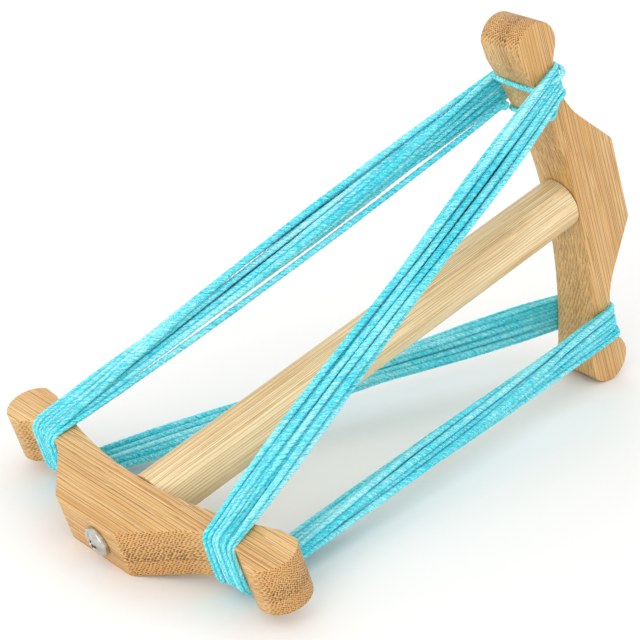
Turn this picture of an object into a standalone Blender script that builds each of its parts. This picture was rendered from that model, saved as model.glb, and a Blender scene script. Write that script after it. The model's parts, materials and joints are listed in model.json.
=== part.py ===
# Niddy noddy: a hand skein winder of laminated bamboo with a skein of yarn on it.
# Two bow-shaped crossbars stand at right angles on the ends of a round dowel.
# The winder lies as it does on a table: on the outer edge of the near bar and
# on the lower knob of the far bar, so the dowel rises towards the far end.
# Assembly frame: +X along the dowel, from the near bar to the far bar.

import bmesh
import bpy
import numpy as np
from math import asin, atan2, ceil, cos, degrees, pi, radians, sin, sqrt, tan
from mathutils import Matrix, Vector
from mathutils.kdtree import KDTree

MM = 0.001

# Dowel
DOWEL_LENGTH = 188.6 * MM
DOWEL_RADIUS = 9.5 * MM
DOWEL_CHAMFER = 0.6 * MM
SEAT_GAP = 0.3 * MM

# Crossbars
BAR_LENGTH = 152 * MM
BAR_THICKNESS = 18.5 * MM
BAR_DEPTH = 21.8 * MM
INNER_RADIUS = 200 * MM
KNOB_RADIUS = 9 * MM
NECK_TO_KNOB = 13.5 * MM
NECK_CUT = 7.5 * MM
SHOULDER_LENGTH = 36.7 * MM
SHOULDER_SLOPE = radians(36.5)
EDGE_ROUNDING = 1.2 * MM
NEAR_HOLE_SHIFT = 3.7 * MM
GRIP_FACE_LENGTH = 24 * MM
GRIP_FACE_MARGIN = 3.5 * MM

# Screws
SCREW_RADIUS = 2.5 * MM
SCREW_REACH = 16 * MM
SCREW_TIP_CHAMFER = 0.8 * MM
HEAD_RADIUS = 5.4 * MM
HEAD_HEIGHT = 3 * MM
HEAD_RIM = 0.9 * MM
RECESS_REACH = 2.7 * MM
RECESS_WIDTH = 1.1 * MM
RECESS_DEPTH = 1.9 * MM
RECESS_TAPER_SHARE = 0.45
HOLE_CLEARANCE = 0.3 * MM

# Threaded inserts in the dowel's ends
INSERT_WALL = 1 * MM
INSERT_LENGTH = 12 * MM
INSERT_RIDGE = 0.4 * MM
INSERT_RIDGES = 7
INSERT_GAP = 0.3 * MM
TIP_ROOM = 3 * MM

# Yarn
YARN_RADIUS = 0.6 * MM
STRAND_SPACING = 0.9 * MM
YARN_GAP = 0.3 * MM
LOOP_COUNTS = (8, 8)
WINDING_INSET = 12 * MM
GATHERED_STEP = 0.95 * MM
GATHERED_ROW = 2.2 * MM
TIE_OFFSET = 2.5 * MM
KNOT_RADIUS = 1.8 * MM
END_TURN_DROP = 1.6 * MM
END_TURN_RISE = 0.8 * MM

# Facets of the round pieces
DOWEL_SIDES = 48
SCREW_SIDES = 24
INSERT_SIDES = 16
DOME_STEPS = 5
KNOB_STEPS = 18
ARC_STEPS = 8
INNER_STEPS = 12
SPAN_STEPS = 4

# Points closer than this are one point
MERGE_DISTANCE = 0.001 * MM


# Remove what the scene holds
for old in list(bpy.data.objects):
    bpy.data.objects.remove(old, do_unlink=True)


def make_material(name, colour, roughness, metallic=0.0):
    material = bpy.data.materials.new(name)
    material.use_nodes = True
    shader = material.node_tree.nodes["Principled BSDF"]
    shader.inputs["Base Color"].default_value = (*colour, 1.0)
    shader.inputs["Roughness"].default_value = roughness
    shader.inputs["Metallic"].default_value = metallic
    material.diffuse_color = (*colour, 1.0)
    return material


def add_object(name, mesh, material, parent, matrix):
    obj = bpy.data.objects.new(name, mesh)
    bpy.context.scene.collection.objects.link(obj)
    mesh.materials.append(material)
    obj.parent = parent
    obj.matrix_local = matrix
    return obj


def add_empty(name, parent, matrix):
    empty = bpy.data.objects.new(name, None)
    bpy.context.scene.collection.objects.link(empty)
    empty.parent = parent
    empty.matrix_local = matrix
    return empty


def mesh_from(bm, name, sharp_angle=None):
    bmesh.ops.recalc_face_normals(bm, faces=bm.faces)
    mesh = bpy.data.meshes.new(name)
    bm.to_mesh(mesh)
    bm.free()
    if sharp_angle is not None:
        mesh.shade_smooth()
        mesh.set_sharp_from_angle(angle=sharp_angle)
    return mesh


# A solid of revolution about X, from an open profile of (x, radius) points
# whose two ends lie on the axis, or a closed one that stays clear of it.
def turned_mesh(name, profile, sides, closed=False, sharp_angle=radians(30)):
    bm = bmesh.new()
    verts = [bm.verts.new((x, r, 0)) for x, r in profile]
    edges = [bm.edges.new(pair) for pair in zip(verts, verts[1:])]
    if closed:
        edges.append(bm.edges.new((verts[-1], verts[0])))
    bmesh.ops.spin(
        bm, geom=verts + edges, cent=(0, 0, 0), axis=(1, 0, 0), angle=2 * pi, steps=sides, use_merge=True
    )
    bmesh.ops.remove_doubles(bm, verts=bm.verts, dist=MERGE_DISTANCE)
    return mesh_from(bm, name, sharp_angle)


# The crossbar's outline, as (s, w): s along the bar from its middle, w away
# from the dowel, zero where the dowel seats. The inner edge is one long arc,
# each end a half-round knob, and between the knob and the flat middle the
# outer edge dips to a neck in which the yarn lies.
def inner_edge(s):
    return sqrt(INNER_RADIUS**2 - s**2) - INNER_RADIUS


KNOB_PLACE = BAR_LENGTH / 2 - KNOB_RADIUS
KNOB_HEIGHT = sqrt((INNER_RADIUS + KNOB_RADIUS) ** 2 - KNOB_PLACE**2) - INNER_RADIUS
NECK_PLACE = KNOB_PLACE - NECK_TO_KNOB
NECK_HEIGHT = inner_edge(NECK_PLACE) + 2 * KNOB_RADIUS - NECK_CUT
FACET_HALF_WIDTH = NECK_PLACE - SHOULDER_LENGTH

# The concave arcs that join slope, neck and knob without a corner
SHOULDER_RUN = SHOULDER_LENGTH * sin(SHOULDER_SLOPE)
SHOULDER_RISE = (BAR_DEPTH - NECK_HEIGHT) * cos(SHOULDER_SLOPE)
SHOULDER_RADIUS = (SHOULDER_RUN - SHOULDER_RISE) / (1 - cos(SHOULDER_SLOPE))
SHOULDER_FOOT = NECK_PLACE - SHOULDER_RADIUS * sin(SHOULDER_SLOPE)
KNOB_DROP = NECK_HEIGHT - KNOB_HEIGHT
NECK_RADIUS = (NECK_TO_KNOB**2 + KNOB_DROP**2 - KNOB_RADIUS**2) / (2 * (KNOB_RADIUS - KNOB_DROP))
NECK_ANGLE = atan2(NECK_TO_KNOB, NECK_RADIUS + KNOB_DROP)
INNER_ANGLE = asin(KNOB_PLACE / (INNER_RADIUS + KNOB_RADIUS))


# From the dowel's middle to a bar's seat. The seat curves towards the dowel,
# so the dowel's rim meets it first, on the side where the near bar is shifted.
HALF_SPAN = DOWEL_LENGTH / 2 + SEAT_GAP - inner_edge(DOWEL_RADIUS + NEAR_HOLE_SHIFT)


def half_outline():
    points = [(FACET_HALF_WIDTH, BAR_DEPTH)]
    for step in range(ARC_STEPS + 1):
        angle = SHOULDER_SLOPE * (1 - step / ARC_STEPS)
        s = NECK_PLACE - SHOULDER_RADIUS * sin(angle)
        w = NECK_HEIGHT + SHOULDER_RADIUS * (1 - cos(angle))
        points.append((s, w))
    for step in range(1, ARC_STEPS + 1):
        angle = NECK_ANGLE * step / ARC_STEPS
        s = NECK_PLACE + NECK_RADIUS * sin(angle)
        w = NECK_HEIGHT + NECK_RADIUS * (1 - cos(angle))
        points.append((s, w))
    start = pi / 2 + NECK_ANGLE
    end = INNER_ANGLE - pi / 2
    for step in range(1, KNOB_STEPS + 1):
        angle = start + (end - start) * step / KNOB_STEPS
        s = KNOB_PLACE + KNOB_RADIUS * cos(angle)
        w = KNOB_HEIGHT + KNOB_RADIUS * sin(angle)
        points.append((s, w))
    for step in range(1, INNER_STEPS + 1):
        angle = INNER_ANGLE * (1 - step / INNER_STEPS)
        s = INNER_RADIUS * sin(angle)
        w = INNER_RADIUS * (cos(angle) - 1)
        points.append((s, w))
    return points


# Height of the bar's outer edge at a place s along it, from the shoulder out
def outer_edge(s):
    if s < SHOULDER_FOOT:
        return BAR_DEPTH - (s - FACET_HALF_WIDTH) * tan(SHOULDER_SLOPE)
    radius = SHOULDER_RADIUS if s < NECK_PLACE else NECK_RADIUS
    return NECK_HEIGHT + radius - sqrt(radius**2 - (s - NECK_PLACE) ** 2)


# A crossbar in its own frame: w along X, s along Y, thickness along Z, the
# screw's axis along X through the origin
def crossbar_mesh(name, shift):
    half = half_outline()
    outline = half + [(-s, w) for s, w in reversed(half[:-1])]
    bm = bmesh.new()
    lower = [bm.verts.new((w, s + shift, -BAR_THICKNESS / 2)) for s, w in outline]
    face = bm.faces.new(lower)
    walls = bmesh.ops.extrude_face_region(bm, geom=[face])
    raised = [item for item in walls["geom"] if isinstance(item, bmesh.types.BMVert)]
    bmesh.ops.translate(bm, verts=raised, vec=(0, 0, BAR_THICKNESS))
    bm.normal_update()
    rims = [
        edge
        for edge in bm.edges
        if len(edge.link_faces) == 2 and any(abs(f.normal.z) > 0.9 for f in edge.link_faces)
    ]
    bmesh.ops.bevel(
        bm,
        geom=rims,
        offset=EDGE_ROUNDING,
        offset_type="OFFSET",
        segments=2,
        profile=0.5,
        affect="EDGES",
        clamp_overlap=True,
        material=-1,
    )
    for y in (-GRIP_FACE_LENGTH / 2, GRIP_FACE_LENGTH / 2):
        split_along(bm, (0, y, 0), (0, 1, 0))
    for x in (GRIP_FACE_MARGIN, BAR_DEPTH - GRIP_FACE_MARGIN):
        split_along(bm, (x, 0, 0), (1, 0, 0))
    return mesh_from(bm, name, radians(35))


def split_along(bm, point, normal):
    geom = bm.verts[:] + bm.edges[:] + bm.faces[:]
    bmesh.ops.bisect_plane(bm, geom=geom, dist=MERGE_DISTANCE, plane_co=point, plane_no=normal)


# The clearance hole is cut by a round cutter along the screw's axis
def cut_hole(obj, cutter_name, radius, parent, matrix):
    overrun = BAR_DEPTH
    profile = [(-overrun, 0), (-overrun, radius), (BAR_DEPTH + overrun, radius), (BAR_DEPTH + overrun, 0)]
    mesh = turned_mesh(cutter_name, profile, SCREW_SIDES)
    cutter = bpy.data.objects.new(cutter_name, mesh)
    bpy.context.scene.collection.objects.link(cutter)
    cutter.parent = parent
    cutter.matrix_local = matrix
    add_cut(obj, cutter)


def add_cut(obj, cutter):
    cutter.hide_render = True
    cutter.display_type = "WIRE"
    cut = obj.modifiers.new("cut", "BOOLEAN")
    cut.operation = "DIFFERENCE"
    cut.solver = "EXACT"
    cut.object = cutter


def make_crossbar(name, shift, material, parent, matrix):
    obj = add_object(name, crossbar_mesh(name, shift), material, parent, matrix)
    cut_hole(obj, name + "_cutter", SCREW_RADIUS + HOLE_CLEARANCE, parent, matrix)
    return obj


INSERT_BORE = SCREW_RADIUS + HOLE_CLEARANCE
INSERT_RADIUS = INSERT_BORE + INSERT_WALL


# The dowel, with a stepped blind bore in each end for an insert and the tip of
# its screw
def make_dowel(material, parent):
    half = DOWEL_LENGTH / 2
    bore = INSERT_RADIUS + INSERT_GAP
    shelf = half - INSERT_LENGTH - 2 * INSERT_GAP
    floor = half - SCREW_REACH - TIP_ROOM
    far_side = [
        (half - DOWEL_CHAMFER, DOWEL_RADIUS),
        (half, DOWEL_RADIUS - DOWEL_CHAMFER),
        (half, bore),
        (shelf, bore),
        (shelf, INSERT_BORE),
        (floor, INSERT_BORE),
        (floor, 0),
    ]
    near_side = [(-x, r) for x, r in reversed(far_side)]
    mesh = turned_mesh("dowel", near_side + far_side, DOWEL_SIDES)
    return add_object("dowel", mesh, material, parent, Matrix())


# A threaded insert, its outer thread drawn as ridges, mouth at the dowel's end
def insert_mesh(name):
    valley = INSERT_RADIUS - INSERT_RIDGE
    step = INSERT_LENGTH / INSERT_RIDGES
    profile = [(-INSERT_LENGTH, INSERT_BORE), (-INSERT_LENGTH, valley)]
    for ridge in range(INSERT_RIDGES):
        crest = -INSERT_LENGTH + (ridge + 0.5) * step
        profile.append((crest, INSERT_RADIUS))
        profile.append((crest + step / 2, valley))
    profile.append((0, INSERT_BORE))
    return turned_mesh(name, profile, INSERT_SIDES, closed=True)


# A machine screw along X: head outwards, its underside at x = 0
def screw_mesh(name):
    dome_rise = HEAD_HEIGHT - HEAD_RIM
    dome_radius = (HEAD_RADIUS**2 + dome_rise**2) / (2 * dome_rise)
    dome_angle = asin(HEAD_RADIUS / dome_radius)
    profile = []
    for step in range(DOME_STEPS + 1):
        angle = dome_angle * step / DOME_STEPS
        x = HEAD_HEIGHT - dome_radius * (1 - cos(angle))
        profile.append((x, dome_radius * sin(angle)))
    shank = HALF_SPAN - DOWEL_LENGTH / 2 + BAR_DEPTH + HOLE_CLEARANCE + SCREW_REACH
    profile += [
        (0, HEAD_RADIUS),
        (0, SCREW_RADIUS),
        (SCREW_TIP_CHAMFER - shank, SCREW_RADIUS),
        (-shank, SCREW_RADIUS - SCREW_TIP_CHAMFER),
        (-shank, 0),
    ]
    return turned_mesh(name, profile, SCREW_SIDES)


# The cross recess: a tapered four-armed plug, cut into the head
def recess_mesh(name):
    reach = RECESS_REACH
    wing = RECESS_WIDTH / 2
    cross = [
        (reach, -wing),
        (reach, wing),
        (wing, wing),
        (wing, reach),
        (-wing, reach),
        (-wing, wing),
        (-reach, wing),
        (-reach, -wing),
        (-wing, -wing),
        (-wing, -reach),
        (wing, -reach),
        (wing, -wing),
    ]
    overrun = HEAD_HEIGHT - RECESS_DEPTH
    bm = bmesh.new()
    bottom = [
        bm.verts.new((HEAD_HEIGHT - RECESS_DEPTH, y * RECESS_TAPER_SHARE, z * RECESS_TAPER_SHARE))
        for y, z in cross
    ]
    level = [bm.verts.new((HEAD_HEIGHT, y, z)) for y, z in cross]
    top = [bm.verts.new((HEAD_HEIGHT + overrun, y, z)) for y, z in cross]
    bm.faces.new(bottom)
    bm.faces.new(top)
    count = len(cross)
    for low, high in ((bottom, level), (level, top)):
        for index in range(count):
            following = (index + 1) % count
            bm.faces.new((low[index], low[following], high[following], high[index]))
    return mesh_from(bm, name)


def make_screw(name, material, parent, matrix):
    screw = add_object(name, screw_mesh(name), material, parent, matrix)
    cutter = bpy.data.objects.new(name + "_recess_cutter", recess_mesh(name + "_recess"))
    bpy.context.scene.collection.objects.link(cutter)
    cutter.parent = parent
    cutter.matrix_local = matrix
    add_cut(screw, cutter)
    return screw


# A place on a bar's neck section, in the assembly frame. A neck is given by
# the end of the dowel it is on (-1 near, 1 far), the direction of its arm and
# the direction of one broad face; out is measured from the seat outwards.
def neck_point(end, arm, face, shift, s, out, across):
    along = Vector(arm) * s + Vector((0, 1, 0)) * shift
    return Vector((end * (HALF_SPAN + out), 0, 0)) + along + Vector(face) * across


UP = (0, 0, 1)
DOWN = (0, 0, -1)
LEFT = (0, 1, 0)
RIGHT = (0, -1, 0)

# The necks in the order in which a loop visits them: end, arm, face it comes
# in over, face it leaves over, shift of the bar
NECKS = [
    (-1, LEFT, UP, DOWN, NEAR_HOLE_SHIFT),
    (1, DOWN, LEFT, RIGHT, 0),
    (-1, RIGHT, DOWN, UP, NEAR_HOLE_SHIFT),
    (1, UP, RIGHT, LEFT, 0),
]
NECK_COUNT = len(NECKS)
STRAND_PITCH = 2 * YARN_RADIUS + STRAND_SPACING
WINDING_TURNS = LOOP_COUNTS[0] - 1 / NECK_COUNT
WINDING_START = NECK_PLACE - WINDING_INSET
WINDING_END = WINDING_START + STRAND_PITCH * WINDING_TURNS
WINDING_MIDDLE = (WINDING_START + WINDING_END) / 2
SPAN_RISE = (WINDING_MIDDLE - BAR_THICKNESS / 2) / (2 * (HALF_SPAN + NECK_HEIGHT))
CORNER_TURN = pi / 2 - atan2(SPAN_RISE, 1)
TIE_PLACE = WINDING_START - TIE_OFFSET


# Where the visit falls in the band: laid outwards in the first layer and back
# in the second. Far necks are filled from the knob side, so that the strands
# turn a quarter way round in each span and never cross.
def winding_place(visit):
    first = LOOP_COUNTS[0] * NECK_COUNT
    if visit < first:
        turns = visit / NECK_COUNT
        layer = 0
    else:
        turns = WINDING_TURNS - (visit - first) / NECK_COUNT
        layer = 1
    end = NECKS[visit % NECK_COUNT][0]
    s = WINDING_START + turns * STRAND_PITCH
    if end > 0:
        s = WINDING_END - turns * STRAND_PITCH
    return s, layer


# The four points with which a strand turns round a neck's outer side
def neck_turn(neck, s, layer):
    end, arm, face_in, face_out, shift = neck
    cover = EDGE_ROUNDING + YARN_GAP + YARN_RADIUS + layer * STRAND_PITCH
    radius = cover / cos(CORNER_TURN / 4)
    hub_out = outer_edge(s) - EDGE_ROUNDING
    hub_across = BAR_THICKNESS / 2 - EDGE_ROUNDING
    points = []
    for face, shares in ((face_in, (0.75, 0.25)), (face_out, (0.25, 0.75))):
        for share in shares:
            angle = CORNER_TURN * share
            out = hub_out + radius * cos(angle)
            across = hub_across + radius * sin(angle)
            points.append(neck_point(end, arm, face, shift, s, out, across))
    return points


# Which way a neck's band of strands runs, from its first strand on
def band_way(neck):
    end, arm = neck[:2]
    return Vector(arm) * -end


# Across a span: the direction of the band's width, and the one of its layers
def across_axes(band, way):
    width = (band - way * band.dot(way)).normalized()
    return width, width.cross(way)


# The row in which a strand runs where the span gathers it. Every second
# strand of a layer moves out into a row of its own.
def gathered_row(layer, parity):
    row = 0.5 + parity
    return row if layer else -row


# Points on the way from one neck to the next. The flat band turns a quarter
# way round on the way, and draws together into a thicker, narrower bundle.
def span_points(start, finish, middles, bands, rows):
    way = (middles[1] - middles[0]).normalized()
    ends = []
    for point, middle, band in zip((start, finish), middles, bands):
        width, depth = across_axes(band, way)
        offset = point - middle
        ends.append(Vector((offset.dot(way), offset.dot(width), offset.dot(depth))))
    points = []
    for step in range(1, SPAN_STEPS):
        share = step / SPAN_STEPS
        gathered = sin(pi * share)
        width, depth = across_axes(bands[0].slerp(bands[1], share), way)
        along, aside, out = ends[0].lerp(ends[1], share)
        aside += (aside * GATHERED_STEP / STRAND_PITCH - aside) * gathered**2
        row = rows[0] + (rows[1] - rows[0]) * share
        out += (row * GATHERED_ROW - out) * gathered
        points.append(middles[0].lerp(middles[1], share) + way * along + width * aside + depth * out)
    return points


# A turn of yarn round a neck, on the wood, as two points at each of the
# section's four corners: inner and outer corner of one face, then outer and
# inner corner of the other. Each corner has its own place along the bar.
def ring_points(neck, places):
    end, arm, face_in, face_out, shift = neck
    half = BAR_THICKNESS / 2 - EDGE_ROUNDING
    radius = (EDGE_ROUNDING + YARN_GAP + YARN_RADIUS) / cos(pi / 8)
    short = radius * sin(pi / 8)
    long = radius * cos(pi / 8)
    faces = (face_in, face_in, face_out, face_out)
    points = []
    for corner, (face, s) in enumerate(zip(faces, places)):
        if corner in (0, 3):
            edge = inner_edge(s) + EDGE_ROUNDING
            ends = [(edge - long, short), (edge - short, long)]
        else:
            edge = outer_edge(s) - EDGE_ROUNDING
            ends = [(edge + short, long), (edge + long, short)]
        if face is face_out:
            ends.reverse()
        for out, across in ends:
            points.append(neck_point(end, arm, face, shift, s, out, half + across))
    return points


def skein_points():
    visits = NECK_COUNT * sum(LOOP_COUNTS)
    middle_layer = 0.5
    middles = [neck_turn(neck, WINDING_MIDDLE, middle_layer) for neck in NECKS]
    bands = [band_way(neck) for neck in NECKS]
    layers = []
    turns = []
    for visit in range(visits):
        s, layer = winding_place(visit)
        layers.append(layer)
        turns.append(neck_turn(NECKS[visit % NECK_COUNT], s, layer))
    points = [knot_exit()]
    points += turns[0]
    for visit in range(1, visits):
        before = (visit - 1) % NECK_COUNT
        after = visit % NECK_COUNT
        parity = visit // NECK_COUNT % 2
        points += span_points(
            turns[visit - 1][-1],
            turns[visit][0],
            (middles[before][-1], middles[after][0]),
            (bands[before], bands[after]),
            (gathered_row(layers[visit - 1], parity), gathered_row(layers[visit], parity)),
        )
        points += turns[visit]
    points += end_turn()
    return points


# The yarn's end goes once round the far upper neck, above the winding: down
# the face that it left over, along the inner edge, and up the other face
def end_turn():
    low = WINDING_END - END_TURN_DROP
    ring = ring_points(NECKS[-1], (low, WINDING_END + END_TURN_RISE, WINDING_END, low))
    half = len(ring) // 2
    return ring[half + 2 :] + ring[: half - 1]


# Middle of the knot, on the inner edge of the far upper neck's rear face
def knot_centre():
    end, arm, face_in, face_out, shift = NECKS[-1]
    s = TIE_PLACE + YARN_RADIUS + YARN_GAP + KNOT_RADIUS
    out = inner_edge(s) - YARN_GAP - KNOT_RADIUS
    return neck_point(end, arm, face_out, shift, s, out, BAR_THICKNESS / 2)


def knot_exit():
    first = neck_turn(NECKS[0], *winding_place(0))[0]
    centre = knot_centre()
    way = (first - centre).normalized()
    return centre + way * (KNOT_RADIUS + YARN_GAP)


def tube_object(name, points, material, parent, cyclic=False):
    curve = bpy.data.curves.new(name, "CURVE")
    curve.dimensions = "3D"
    curve.bevel_depth = YARN_RADIUS
    curve.bevel_resolution = 1
    curve.use_fill_caps = True
    spline = curve.splines.new("POLY")
    spline.points.add(len(points) - 1)
    for slot, point in zip(spline.points, points):
        slot.co = (*point, 1.0)
    spline.use_cyclic_u = cyclic
    spline.use_smooth = True
    curve.materials.append(material)
    obj = bpy.data.objects.new(name, curve)
    bpy.context.scene.collection.objects.link(obj)
    obj.parent = parent
    return obj


# Least distance between stretches of the strand that are not neighbours, and
# the strand's length
def least_gap(points):
    path = []
    travel = []
    length = 0
    for start, finish in zip(points, points[1:]):
        run = (finish - start).length
        pieces = ceil(run / (YARN_RADIUS / 2))
        for piece in range(pieces):
            path.append(start.lerp(finish, piece / pieces))
            travel.append(length + run * piece / pieces)
        length += run
    tree = KDTree(len(path))
    for index, place in enumerate(path):
        tree.insert(place, index)
    tree.balance()
    least = 2 * STRAND_PITCH
    for index, place in enumerate(path):
        for _, other, distance in tree.find_range(place, least):
            if travel[other] - travel[index] > 3 * STRAND_PITCH:
                least = min(least, distance)
    return least - 2 * YARN_RADIUS, length


def make_skein(material, parent):
    points = skein_points()
    gap, length = least_gap(points)
    print(f"skein: {sum(LOOP_COUNTS)} loops, {len(points)} points, {length:.2f} m of yarn")
    print(f"skein: least gap to itself {gap / MM:.2f} mm")
    return tube_object("yarn_skein", points, material, parent)


def make_tie(material, parent, matrix):
    ring = ring_points(NECKS[-1], (TIE_PLACE,) * 4)
    tie = tube_object("start_tie", ring, material, parent, cyclic=True)
    tie.matrix_local = matrix
    return tie


def make_knot(material, parent, matrix):
    bm = bmesh.new()
    bmesh.ops.create_icosphere(bm, subdivisions=2, radius=KNOT_RADIUS)
    mesh = mesh_from(bm, "start_knot", radians(60))
    matrix = matrix @ Matrix.Translation(knot_centre())
    return add_object("start_knot", mesh, material, parent, matrix)


# The slope at which the winder lies: a line under the near bar's outer edge
# and under the far bar's lower knob
def resting_slope():
    edge = Vector((-(HALF_SPAN + BAR_DEPTH - EDGE_ROUNDING), -(BAR_THICKNESS / 2 - EDGE_ROUNDING)))
    knob = Vector((HALF_SPAN + KNOB_HEIGHT, -KNOB_PLACE))
    reach = knob - edge
    return asin((KNOB_RADIUS - EDGE_ROUNDING) / reach.length) - atan2(reach.y, reach.x)


# Set the whole winder on the ground, its box centred on the origin
def stand_on_ground(frame, pieces):
    bpy.context.view_layer.update()
    graph = bpy.context.evaluated_depsgraph_get()
    corners = []
    for piece in pieces:
        shown = piece.evaluated_get(graph)
        mesh = shown.to_mesh()
        corners += [shown.matrix_world @ vert.co for vert in mesh.vertices]
        shown.to_mesh_clear()
    cloud = np.array(corners)
    low = cloud.min(axis=0)
    high = cloud.max(axis=0)
    frame.location = (-(low[0] + high[0]) / 2, -(low[1] + high[1]) / 2, -low[2])
    bpy.context.view_layer.update()
    print("size in mm:", [round(float(value), 2) for value in (high - low) / MM])


def build():
    bamboo = make_material("laminated_bamboo", (0.76, 0.50, 0.23), 0.45)
    pale_bamboo = make_material("turned_bamboo", (0.78, 0.58, 0.31), 0.42)
    zinc = make_material("zinc_plated_steel", (0.72, 0.73, 0.74), 0.25, 1.0)
    brass = make_material("brass", (0.78, 0.57, 0.24), 0.3, 1.0)
    yarn = make_material("turquoise_wool", (0.06, 0.60, 0.66), 0.85)

    frame = add_empty("resting_frame", None, Matrix.Rotation(-resting_slope(), 4, "Y"))
    far_arm = add_empty("far_arm", frame, Matrix.Translation((HALF_SPAN, 0, 0)))
    to_seat = Matrix.Translation((-HALF_SPAN, 0, 0))

    outwards = Matrix.Rotation(pi, 4, "Y")
    upright = Matrix.Rotation(pi / 2, 4, "X")
    head = BAR_DEPTH + HOLE_CLEARANCE
    mouth = DOWEL_LENGTH / 2 - INSERT_GAP

    dowel = make_dowel(pale_bamboo, frame)
    insert_far = add_object(
        "insert_far", insert_mesh("insert_far"), brass, frame, Matrix.Translation((mouth, 0, 0))
    )
    insert_near = add_object(
        "insert_near", insert_mesh("insert_near"), brass, frame, Matrix.Translation((-mouth, 0, 0)) @ outwards
    )
    crossbar_near = make_crossbar("crossbar_near", NEAR_HOLE_SHIFT, bamboo, frame, to_seat @ outwards)
    crossbar_far = make_crossbar("crossbar_far", 0, bamboo, far_arm, upright)
    screw_near = make_screw(
        "screw_near", zinc, frame, to_seat @ Matrix.Translation((-head, 0, 0)) @ outwards
    )
    screw_far = make_screw("screw_far", zinc, far_arm, Matrix.Translation((head, 0, 0)))
    skein = make_skein(yarn, frame)
    tie = make_tie(yarn, far_arm, to_seat)
    knot = make_knot(yarn, far_arm, to_seat)

    pieces = [
        dowel,
        insert_far,
        insert_near,
        crossbar_near,
        crossbar_far,
        screw_near,
        screw_far,
        skein,
        tie,
        knot,
    ]
    stand_on_ground(frame, pieces)
    report_places(frame)


# The places and directions that the winder's data sheet states
def report_places(frame):
    world = frame.matrix_world
    turn = world.to_3x3()
    grip = Vector((-(HALF_SPAN + BAR_DEPTH / 2), GRIP_FACE_LENGTH / 6, BAR_THICKNESS / 2))
    places = {
        "dowel's middle": world.translation,
        "dowel's axis": turn @ Vector((1, 0, 0)),
        "near seat": world @ Vector((-HALF_SPAN, 0, 0)),
        "far seat": world @ Vector((HALF_SPAN, 0, 0)),
        "near bar's broad face": world @ grip,
        "broad face's normal": turn @ Vector((0, 0, 1)),
    }
    for name, place in places.items():
        print(name + ":", [round(value, 6) for value in place])
    print("slope in degrees:", round(degrees(resting_slope()), 4))


build()
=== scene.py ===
import json
import math

import bmesh
import bpy
import numpy as np
from mathutils import Matrix, Vector
from mathutils.kdtree import KDTree


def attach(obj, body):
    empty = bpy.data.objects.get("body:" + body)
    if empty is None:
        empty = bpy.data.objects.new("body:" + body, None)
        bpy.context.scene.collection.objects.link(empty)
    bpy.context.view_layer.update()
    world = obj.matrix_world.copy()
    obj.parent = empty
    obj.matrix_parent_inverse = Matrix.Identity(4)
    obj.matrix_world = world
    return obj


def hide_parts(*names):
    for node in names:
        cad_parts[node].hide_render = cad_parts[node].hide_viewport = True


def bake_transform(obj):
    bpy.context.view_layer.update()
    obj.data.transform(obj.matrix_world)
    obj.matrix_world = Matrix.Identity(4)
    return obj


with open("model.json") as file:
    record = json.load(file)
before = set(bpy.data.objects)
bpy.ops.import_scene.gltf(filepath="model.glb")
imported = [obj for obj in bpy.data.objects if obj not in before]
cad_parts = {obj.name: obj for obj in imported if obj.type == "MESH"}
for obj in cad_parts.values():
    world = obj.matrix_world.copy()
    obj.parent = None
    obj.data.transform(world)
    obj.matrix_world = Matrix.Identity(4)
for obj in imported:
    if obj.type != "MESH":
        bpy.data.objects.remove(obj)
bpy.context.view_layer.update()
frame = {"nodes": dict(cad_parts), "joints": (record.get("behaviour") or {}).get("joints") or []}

mm = 0.001
rng = np.random.default_rng(7)
scene = bpy.context.scene

# The winder's own directions: along the dowel from the near bar to the far
# bar, to the side along the near bar, and up along the far bar
swivel = next(joint for joint in frame["joints"] if joint["name"] == "far_bar_swivel")
along = Vector(swivel["axis"]).normalized()
side = Vector((0, 1, 0))
up = along.cross(side)
middle = Vector(swivel["pos_m"])
turnToWorld = Matrix((along, side, up)).transposed()
toWorld = Matrix.Translation(middle) @ turnToWorld.to_4x4() @ Matrix.Scale(mm, 4)

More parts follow.
